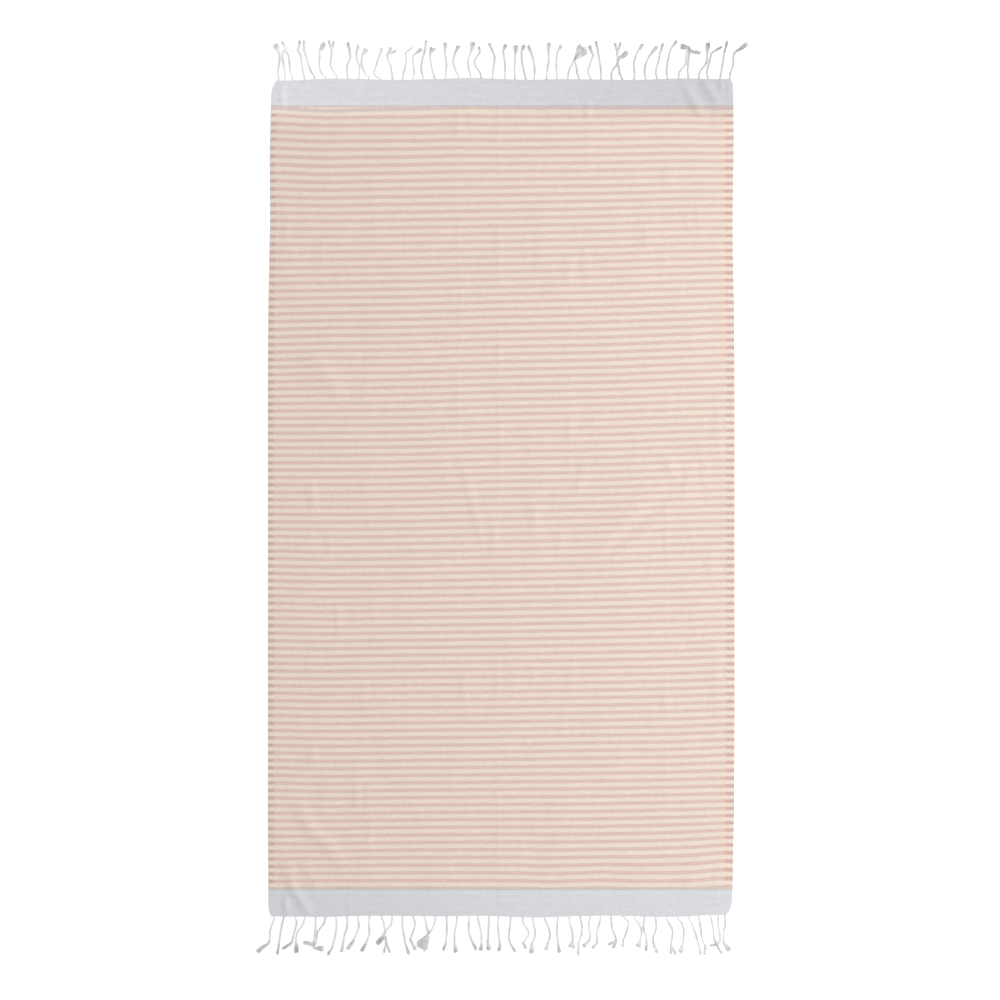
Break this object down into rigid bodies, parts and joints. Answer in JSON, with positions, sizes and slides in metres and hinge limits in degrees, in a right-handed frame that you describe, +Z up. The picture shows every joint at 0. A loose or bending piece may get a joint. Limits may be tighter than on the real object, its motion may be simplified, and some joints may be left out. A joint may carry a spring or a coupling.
{
  "type": "hammam towel",
  "caption": "Flat-woven cotton hammam towel laid out flat, with fine pink and cream cross stripes, plain pale end bands and a twisted fringe along each end.",
  "frame": {"origin": "on the surface the towel lies on, under its middle", "axes": "+X across the towel's width, +Y along its length, +Z up from the surface"},
  "size_m": [1.0532, 1.963, 0.0062],
  "materials": {
    "striped_cotton": "matt flat-woven cotton, pink and cream cross stripes about 8 mm wide, plain pale grey-white end bands",
    "fringe_cotton": "matt pale grey-white cotton, twisted strands with loose tufts"
  },
  "bodies": {
    "root": {"cloth": "striped_cotton", "fringe_upper": "fringe_cotton", "fringe_lower": "fringe_cotton"}
  },
  "joints": []
}
